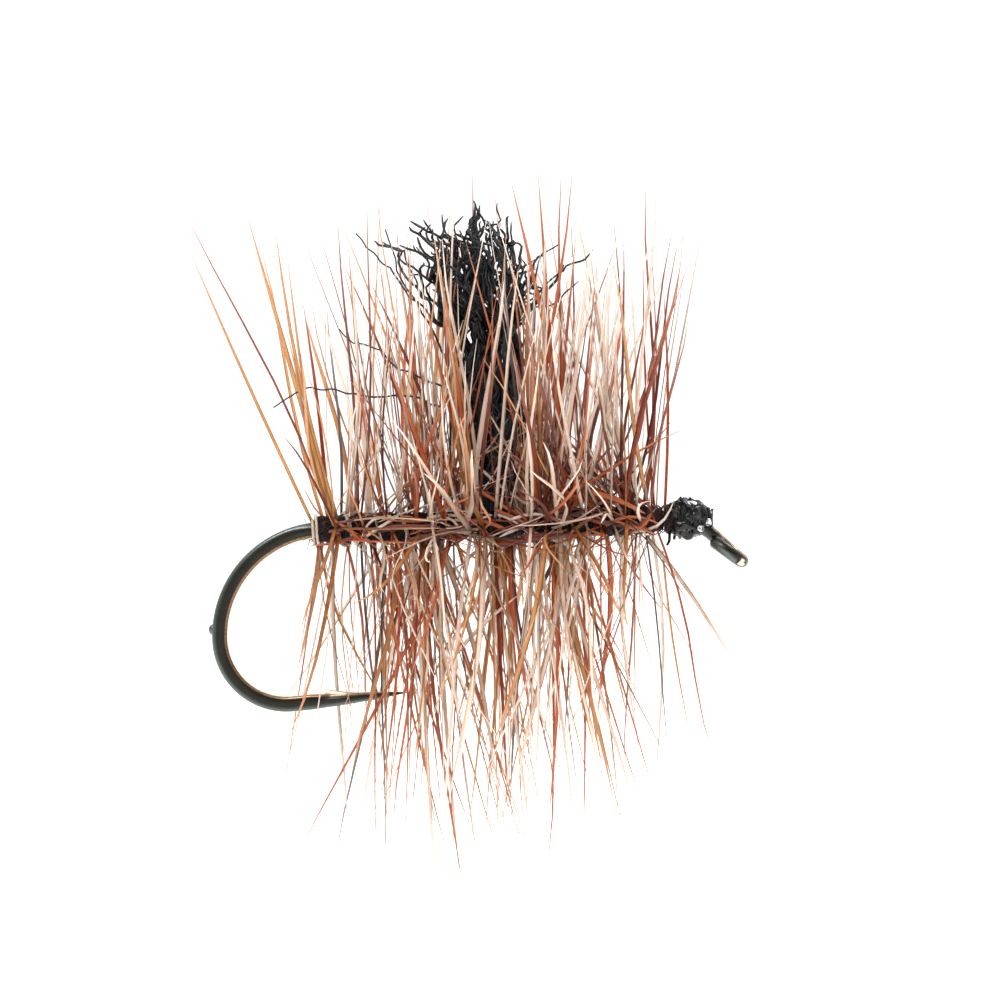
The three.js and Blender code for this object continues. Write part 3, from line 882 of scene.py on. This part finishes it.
finishes = {
    "barbs_amber": barb_finish("barb_amber", colour(92, 48, 24), colour(230, 176, 112),
                               colour(218, 178, 144), colour(240, 190, 128), 0.5),
    "barbs_rust": barb_finish("barb_rust", colour(72, 24, 10), colour(204, 108, 56),
                              colour(200, 140, 104), colour(224, 118, 60), 0.45),
    "barbs_mahogany": barb_finish("barb_mahogany", colour(40, 14, 10), colour(134, 60, 42),
                                  colour(168, 114, 94), colour(176, 74, 46), 0.35),
    "barbs_cream": barb_finish("barb_cream", colour(124, 90, 66), colour(250, 236, 222),
                               colour(244, 222, 208), colour(254, 238, 222), 0.5,
                               0.3, colour(112, 92, 80)),
    "barbs_blush": barb_finish("barb_blush", colour(206, 176, 156), colour(254, 244, 232),
                               colour(252, 240, 230), colour(254, 244, 232), 0.6),
    "barbs_dun": barb_finish("barb_dun", colour(34, 28, 32), colour(124, 104, 92),
                             colour(190, 174, 168), colour(150, 132, 122), 0.3,
                             0.5, colour(40, 34, 38)),
}
print(len(finishes), "barb finishes")

# %% Barbs caught under the windings
def caught_barb(start, reach):
    """A short barb that a later turn has pressed over: it leaves the body at a slant and curls."""
    x = random.uniform(start + 0.4, HACKLE_FRONT - 0.2)
    root, bearing = quill_at(start, turns_at(start, x))
    bearing += random.gauss(0, 0.6)
    fore = (x - DRESSING_REAR) / (DRESSING_FRONT - DRESSING_REAR)
    lean = random.uniform(0.35, 1.0) * (1 if random.uniform(0.25, 0.75) > fore else -1)
    bow = random.gauss(0, 0.5), random.gauss(0, 0.6)
    return barb(root, bearing, lean, random.uniform(1.2, reach), random.uniform(0.02, 0.05),
                random.gauss(0, 0.3), bow)


def screening_barb():
    """A barb that stands in front of the wing's foot and hides it."""
    x = WING_X + random.uniform(-2.0, 1.2)
    root = Vector((x, -0.35, SHANK_Z + random.uniform(0, 0.35)))
    return barb(root, random.uniform(0.12, 0.7), random.gauss(0, 0.16), random.uniform(6.5, 9.4),
                random.uniform(0.035, 0.085), 0.0, (random.gauss(0, 0.5), 0.0))


def tangled_barb():
    """A barb of the front half that lies criss-cross among the roots of the others."""
    x = random.uniform(WING_X + 0.6, WING_X + 4.8)
    root = Vector((x, -0.45, SHANK_Z + random.uniform(-0.1, 0.5)))
    way = random.choice((-1, 1)) if root.x < WING_X + 3 else -1
    lean = way * random.uniform(0.25, 1.05)
    return barb(root, random.uniform(-0.1, 0.6), lean, random.uniform(1.8, 4.4),
                random.uniform(0.04, 0.08), 0.0, (random.gauss(0, 0.5), 0.0))


random.seed(41)
brown_barbs += [caught_barb(HACKLE_REAR, 4.2) for _ in range(60)]
brown_barbs += [screening_barb() for _ in range(12)]
cream_barbs += [caught_barb(HACKLE_REAR + PITCH / 2, 4.2) for _ in range(60)]
cream_barbs += [screening_barb() for _ in range(10)]
print(len(brown_barbs), "brown barbs and", len(cream_barbs), "cream barbs with the untidy ones")


# %% Barbs placed one by one, and those that lie across the body
def placed_barb(root, tip, width, bow=0.0, tone=0.6):
    """A barb from one (x, y, z) to another, bowed sideways by bow millimetres."""
    root, tip = Vector(root), Vector(tip)
    side = (tip - root).cross(ACROSS).normalized()
    points = [root.lerp(tip, t) + side * bow * math.sin(math.pi * t) for t in BARB_KNOTS]
    return points, [width * taper for taper in BARB_TAPER], 0.0, tone


placed = {
    "barbs_amber": (
        placed_barb((-12.4, 0, 1.0), (-15.9, -0.6, 9.45), 0.05, 0.05),
        placed_barb((-11.7, -0.2, 1.2), (-13.3, -0.9, 9.97), 0.06, 0.22),
        placed_barb((-12.0, 0.1, 1.2), (-13.0, 0.6, 9.2), 0.05, 0.1, 0.4),
        placed_barb((-2.0, -0.2, 0.0), (-1.3, -0.8, -5.8), 0.05, -0.1),
    ),
    "barbs_rust": (
        placed_barb((-1.9, -0.2, 1.2), (-1.75, -0.7, 7.9), 0.06, -0.12),
        placed_barb((-2.2, 0.2, 1.2), (-2.3, 0.6, 8.8), 0.05, 0.1, 0.3),
        placed_barb((-4.3, -0.62, 1.85), (-2.5, -0.74, 1.15), 0.1, 0.1, 0.95),
        placed_barb((-5.2, -0.66, 3.2), (-3.9, -0.7, 1.5), 0.07, 0.06, 0.9),
    ),
    "barbs_mahogany": (
        placed_barb((-10.9, -0.66, 0.85), (-8.7, -0.7, 0.95), 0.09, 0.06, 0.95),
        placed_barb((-6.9, -0.68, 0.35), (-3.9, -0.7, 0.55), 0.1, 0.08, 0.95),
        placed_barb((-6.3, -0.7, 1.9), (-4.9, -0.74, 0.9), 0.08, -0.06, 0.9),
        placed_barb((-9.3, -0.7, 0.5), (-7.2, -0.72, 1.05), 0.07, 0.1, 0.8),
    ),
    "barbs_cream": (
        placed_barb((-5.9, -0.62, 0.66), (-4.7, -0.66, 0.2), 0.07, 0.04, 0.7),
        placed_barb((-2.9, -0.5, 0.6), (-1.62, -0.55, 1.5), 0.05, -0.3, 0.8),
        placed_barb((-9.8, -0.9, -1.9), (-8.8, -1.0, -1.3), 0.06, 0.05, 0.8),
        placed_barb((-8.3, -1.0, -2.9), (-6.4, -1.1, -1.2), 0.06, 0.08, 0.8),
    ),
}


def lying_barb():
    """A barb pressed flat along the near side of the body, across the fur."""
    x = random.uniform(HACKLE_REAR + 0.3, HACKLE_FRONT)
    reach = random.choice((-1, 1)) * random.uniform(0.5, 1.7)
    low, high = SHANK_Z + random.uniform(-0.45, 0.45), SHANK_Z + random.uniform(-0.5, 0.5)
    near = -random.uniform(0.6, 0.72)
    x = min(x, HACKLE_FRONT - max(0, reach))
    return placed_barb((x, near, low), (x + reach, near - 0.04, high), random.uniform(0.03, 0.065),
                       random.gauss(0, 0.12), random.random())


random.seed(59)
for name, count in (("barbs_rust", 20), ("barbs_mahogany", 22), ("barbs_cream", 12)):
    placed[name] += tuple(lying_barb() for _ in range(count))
random.seed(53)
placed["barbs_mahogany"] += tuple(tangled_barb() for _ in range(16))
placed["barbs_rust"] += tuple(tangled_barb() for _ in range(16))
placed["barbs_cream"] += tuple(tangled_barb() for _ in range(8))
print(sum(len(group) for group in placed.values()), "barbs placed or laid across the body")

# %% Sorting the barbs into colours
brown_sorts = (("barbs_amber", 0.44), ("barbs_rust", 0.84), ("barbs_mahogany", 9))
cream_sorts = (("barbs_cream", 0.52), ("barbs_blush", 0.94), ("barbs_dun", 9))


def sorted_barbs(barbs, sorts, lean_dark):
    """Deals barbs out to sorts by a random draw; on top and towards the eye they run darker."""
    dealt = {name: [] for name, _ in sorts}
    for strand in barbs:
        root, end = strand[0][0], strand[0][-1]
        fore = (root.x - WING_X) / (DRESSING_FRONT - WING_X)
        draw = random.random() + lean_dark * (0.4 + 0.8 * fore if end.z > SHANK_Z else -0.5)
        dealt[next(name for name, upto in sorts if draw < upto)].append(strand)
    return dealt


random.seed(31)
for barbs, sorts, lean_dark, slot, node in (
        (brown_barbs, brown_sorts, 0.25, "brown_hackle", "hackle_brown"),
        (cream_barbs, cream_sorts, 0.0, "grizzly_hackle", "hackle_grizzly")):
    for name, strands in sorted_barbs(barbs, sorts, lean_dark).items():
        strands += placed.get(name, ())
        piece_from(spray(name, strands, 0.3), finishes[name], slot, node)

# %% [markdown]
# ## The wing
# The wing is a tuft of black crinkled yarn, bound upright between two collars of thread and cut
# off roughly level. Its fibres keep the zigzag of the yarn. Low down they lie together in plies,
# and near the top each ply opens and its fibres spring apart. So a fibre here follows its ply's
# crinkled line, adds a finer crinkle of its own, and leaves the ply at its own height.


# %% Crinkled plies
class Crinkle:
    """A smooth random wander of about amount millimetres, one wave in wave millimetres."""

    def __init__(self, wave, amount):
        self.wave, self.amount = wave, amount
        self.seed = Vector((random.uniform(0, 90), random.uniform(0, 90), random.uniform(0, 90)))

    def at(self, run):
        here = self.seed + Vector((run / self.wave, 0, 0))
        return noise.noise_vector(here) * self.amount * 2


WING_FOOT = SHANK_Z + 0.34
WING_TOP = corners("wing_yarn")[1].z


def wing_reach(z):
    """The wing's half width at a height: bound at the foot, full by the middle."""
    opens, fans = ramp(z, WING_FOOT, WING_FOOT + 1.6), ramp(z, WING_FOOT + 1, WING_TOP - 1)
    return 0.24 + 0.56 * opens + 0.5 * fans


def ply(bearing, place):
    """A ply's line: a function from height to a point. place is its share of the wing's half width."""
    coarse, fine = Crinkle(0.85, 0.17), Crinkle(0.33, 0.08)

    def at(z):
        run = z - WING_FOOT
        out = place * wing_reach(z)
        crinkle = (coarse.at(run) + fine.at(run)) * min(1, run)
        return Vector((WING_X - 0.05 * run + math.cos(bearing) * out,
                       0.7 * math.sin(bearing) * out, z)) + crinkle

    return at


def spring(line, leaves, bearing, fray):
    """A line that follows another up to a height, then springs away from it."""
    wave = Crinkle(0.7, 0.16)
    way = Vector((math.cos(bearing) - 0.1, 0.7 * math.sin(bearing), -0.12)) * fray

    def at(z):
        gone = max(0, z - leaves)
        return line(z) + way * gone ** 1.2 + wave.at(z) * min(1, gone)

    return at


def fibre(line, top, width):
    """A fibre along a line, with a fine crinkle of its own."""
    own = Crinkle(0.36, 0.05)
    offset = Vector((random.gauss(0, 0.05), random.gauss(0, 0.05), 0))
    knots = round((top - WING_FOOT) / 0.11)
    heights = [WING_FOOT + (top - WING_FOOT) * i / knots for i in range(knots + 1)]
    points = [line(z) + offset + own.at(z) for z in heights]
    radii = [width * (0.4 if i == knots else 1 - 0.2 * i / knots) for i in range(knots + 1)]
    return points, radii, random.uniform(0, 3), random.random()


print(f"the wing's foot is at z {WING_FOOT:.2f}, its top at z {WING_TOP:.2f} mm")

# %% The wing's fibres
random.seed(7)
noise.seed_set(7)  # noise_vector() would start from the clock otherwise
fibres = []
PLIES = 22
for i in range(PLIES):
    bearing = i * 2.4
    place = math.sqrt((i + 0.4) / PLIES)
    line = ply(bearing, place)
    ply_top = WING_TOP + 0.35 - random.uniform(0, 2.0) - 0.5 * place ** 3
    for _ in range(3):
        leaves = random.uniform(WING_TOP - 4.6, ply_top - 0.9)
        branch_bearing = bearing + random.gauss(0, 0.6)
        branch = spring(line, leaves, branch_bearing, min(0.6, abs(random.gauss(0.1, 0.22))))
        for _ in range(3):
            top = ply_top - 1.1 * random.random()
            splits = random.uniform(leaves + 0.4, max(leaves + 0.5, top - 0.3))
            twig = spring(branch, splits, random.uniform(0, 2 * math.pi), random.uniform(0.1, 1.0))
            fibres.append(fibre(twig, top, random.uniform(0.038, 0.058)))
print(len(fibres), "fibres in the wing")


# %% Fibres that stray from the wing
def stray(places, width):
    """A crinkled fibre through (x, z) places."""
    own, points = Crinkle(0.5, 0.05), []
    for (x0, z0), (x1, z1) in zip(places, places[1:]):
        steps = max(2, round(math.dist((x0, z0), (x1, z1)) / 0.14))
        points += [Vector((x0 + (x1 - x0) * i / steps, -0.4, z0 + (z1 - z0) * i / steps))
                   + own.at(len(points) * 0.14 + i * 0.14) for i in range(steps)]
    radii = [width * (1 - 0.4 * i / len(points)) for i in range(len(points))]
    return points, radii, 0.0, random.random()


fibres += [
    stray(((-8.3, 4.4), (-9.49, 4.93), (-10.48, 4.84), (-11.14, 4.98), (-11.76, 5.15), (-12.3, 5.17),
           (-12.87, 5.09), (-13.67, 4.55)), 0.035),
    stray(((-8.0, 5.6), (-8.49, 6.22), (-9.0, 7.5), (-9.7, 8.6), (-10.03, 10.0)), 0.036),
    stray(((-8.2, 5.0), (-9.71, 5.66), (-10.3, 6.3), (-11.1, 6.5), (-11.61, 7.07)), 0.034),
    stray(((-8.4, 6.9), (-9.4, 7.9), (-9.9, 8.7), (-10.6, 9.3), (-11.0, 9.9)), 0.036),
    stray(((-6.2, 7.4), (-5.6, 8.2), (-5.3, 9.0), (-4.7, 9.3)), 0.034),
]
print(len(fibres), "fibres with the strays")

# %% Black yarn
yarn = Finish("black_yarn", Specular_IOR_Level=0.4)
dye = yarn.place.clouds(0.15, 3)
faded = (yarn.reading("shade") * 0.7 + dye * 0.6).between(0.15, 1.1)
yarn.set(Base_Color=faded.blend(colour(8, 9, 11), colour(28, 30, 34)),
         Roughness=0.34 + dye * 0.16, Normal=dye.raised(0.006))
piece_from(spray("wing_fibres", fibres, 1.0), yarn, "wing_yarn", "wing_yarn")

# %% [markdown]
# ## The head
# The head is a small cone of thread, finished with a whip knot and soaked in varnish. The varnish
# fills the grooves and dries in uneven beads, so its shine is broken up. The soaked thread is a
# turned form with a lumpy gloss, a few loose turns stand out of it, and four beads sit on it.
# The beads carry white patches of painted highlight.


# %% The head's core and varnish
def turned(name, outline, sides, lumps, scale):
    """A closed form turned round the shank from an outline of (x, radius), made uneven by noise."""
    form = bmesh.new()
    line = [form.verts.new((x, 0, SHANK_Z + radius)) for x, radius in outline]
    edges = [form.edges.new(pair) for pair in zip(line, line[1:])]
    bmesh.ops.spin(form, geom=[*line, *edges], cent=(0, 0, SHANK_Z), axis=ALONG,
                   angle=2 * math.pi, steps=sides, use_merge=True)
    bmesh.ops.remove_doubles(form, verts=form.verts, dist=0.001)
    for vertex in form.verts:
        out = Vector((0, vertex.co.y, vertex.co.z - SHANK_Z))
        vertex.co += out * (noise.noise(vertex.co * scale) * lumps
                            + noise.noise(vertex.co * scale * 2.7) * lumps * 0.5)
    return mesh_from(name, form)


head_low, head_high = corners("head_wraps")
whip_low, whip_high = corners("whip_finish")
gloss = Finish("head_gloss", Specular_IOR_Level=0.2, Coat_Weight=0.35, Coat_Roughness=0.05)
cloud = gloss.place.clouds(0.2, 3)
gloss.set(Base_Color=cloud.between(0.55, 0.75).blend(colour(5, 5, 7), colour(44, 20, 18)),
          Roughness=0.2 + cloud * 0.2, Normal=cloud.raised(0.03))
tie_low = corners("hackle_tie_down")[0]
length = whip_high.x - tie_low.x
outline = [(tie_low.x, 0.02)]
for i in range(31):
    share = i / 30
    radius = 0.40 + 0.17 * ramp(share, 0.05, 0.35) - 0.36 * ramp(share, 0.62, 1.05)
    outline.append((tie_low.x + length * share, radius))
outline.append((whip_high.x, 0.02))
head = turned("head_skin", outline, 72, 0.3, 3.4)
piece_from(head, gloss, "head_varnish", "head_varnish")

# %% Beads of varnish
bead_gloss = Finish("bead_gloss", Coat_Weight=1.0, Coat_Roughness=0.02)
highlight_patches = bead_gloss.place.clouds(0.12, 3)
# Painted highlight: white patches in the beads' colour.
bead_gloss.set(Base_Color=highlight_patches.between(0.42, 0.56).blend(colour(16, 14, 18), colour(226, 230, 236)),
               Roughness=0.06 + highlight_patches * 0.08, Normal=highlight_patches.raised(0.006))
beads = bmesh.new()
for place, size in (((-1.12, -0.22, SHANK_Z + 0.44), (0.22, 0.16, 0.1)),
                    ((-0.84, -0.44, SHANK_Z - 0.3), (0.11, 0.1, 0.1)),
                    ((-0.6, -0.3, SHANK_Z - 0.12), (0.1, 0.1, 0.12)),
                    ((-1.4, -0.46, SHANK_Z - 0.05), (0.1, 0.06, 0.16))):
    shape = Matrix.Translation(place) @ Matrix.Diagonal((*size, 1))
    bmesh.ops.create_icosphere(beads, subdivisions=3, radius=1, matrix=shape)
piece_from(mesh_from("varnish_beads", beads), bead_gloss, "head_varnish", "head_varnish")

# %% The thread of the head
random.seed(17)
head_turns = [coil(head_low.x + 0.04, head_high.x, 6, lambda share: 0.50 + 0.03 * math.sin(3 * share),
                   THREAD, wander=0.12),
              coil(head_high.x, head_low.x + 0.1, 1.6, lambda share: 0.56, 0.045, phase=1, wander=0.1),
              coil(head_low.x, head_high.x - 0.1, 1.3, lambda share: 0.57, 0.045, phase=3, wander=0.1)]
piece_from(spray("head_thread", head_turns, 1.0), waxed, "tying_thread", "head_wraps")
knot_turns = [coil(whip_low.x, whip_high.x, 4, lambda share: 0.47 - 0.2 * share, 0.045, wander=0.08)]
piece_from(spray("whip_thread", knot_turns, 1.0), waxed, "tying_thread", "whip_finish")
wound("tie_down_thread", "hackle_tie_down", 3, 0.0, slack=0.09)
tag_low, tag_high = corners("thread_tag")


def stub(places, thick):
    """A short cut end of thread through (x, y, z) places."""
    points = [Vector(place) for place in places]
    return points, [thick * (0.8 if i == len(points) - 1 else 1) for i in range(len(points))], 0.0, 0.5


tags = [
    stub(((tag_high.x - 0.02, -0.1, tag_high.z + 0.2), (tag_high.x - 0.05, -0.13, tag_low.z + 0.12),
          (tag_low.x + 0.04, -0.15, tag_low.z)), 0.06),
    stub(((-1.32, -0.2, 1.1), (-1.36, -0.24, 1.42), (-1.42, -0.26, 1.62)), 0.055),
    stub(((-1.12, -0.1, 1.15), (-1.2, -0.12, 1.45), (-1.1, -0.14, 1.58)), 0.055),
]
piece_from(spray("tag_end", tags, 1.0), waxed, "tying_thread", "thread_tag")

# %% [markdown]
